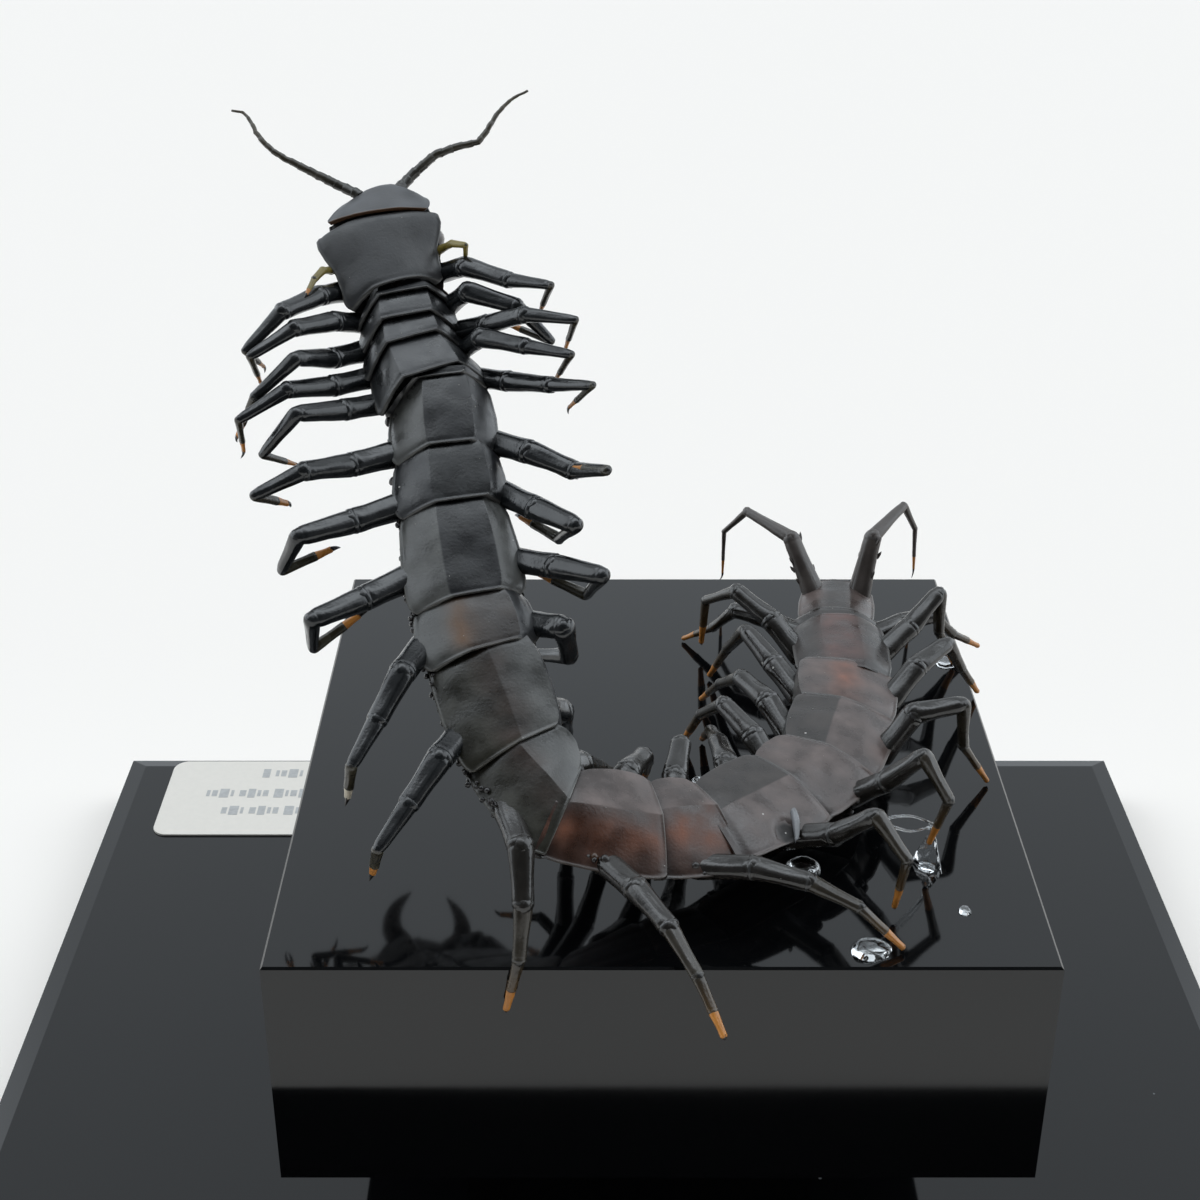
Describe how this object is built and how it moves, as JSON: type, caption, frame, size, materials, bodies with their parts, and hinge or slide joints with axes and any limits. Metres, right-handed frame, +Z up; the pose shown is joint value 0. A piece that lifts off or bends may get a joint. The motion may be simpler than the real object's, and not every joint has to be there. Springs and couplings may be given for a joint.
{
  "type": "mounted dried centipede on a black display block",
  "caption": "Dried giant centipede reared up in a curve and glued by its feet to a polished black block, which stands on a riser over a polished black base plate with a white card.",
  "frame": {"origin": "middle of the underside of the base plate", "axes": "+Z up from the base plate; +Y along the direction in which the animal's head looks; +X to the right of a viewer who stands behind the animal, at the front edge of the block"},
  "size_m": [0.208, 0.218, 0.1653],
  "materials": {
    "polished_black": "polished",
    "card": "matte printed card",
    "shell_black": "dry satin horn",
    "shell_brown": "dry satin horn",
    "feelers": "dry, dull",
    "clear_glue": "clear, hardened"
  },
  "bodies": {
    "root": {"base_plate": "polished_black", "riser": "polished_black", "display_block": "polished_black", "specimen_card": "card", "head": "shell_black", "feeler_left": "feelers", "feeler_right": "feelers", "segment_01": "shell_black", "segment_02": "shell_black", "segment_03": "shell_black", "segment_04": "shell_black", "segment_05": "shell_black", "segment_06": "shell_black", "segment_07": "shell_black", "segment_08": "shell_black", "segment_09": "shell_black", "segment_10": "shell_black", "segment_11": "shell_black", "segment_12": "shell_brown", "segment_13": "shell_brown", "segment_14": "shell_brown", "segment_15": "shell_brown", "segment_16": "shell_brown", "segment_17": "shell_brown", "segment_18": "shell_brown", "segment_19": "shell_brown", "segment_20": "shell_brown", "segment_21": "shell_brown", "glue_drop_1": "clear_glue", "glue_drop_2": "clear_glue", "glue_drop_3": "clear_glue", "glue_drop_4": "clear_glue", "glue_drop_5": "clear_glue", "glue_drop_6": "clear_glue"}
  },
  "joints": []
}
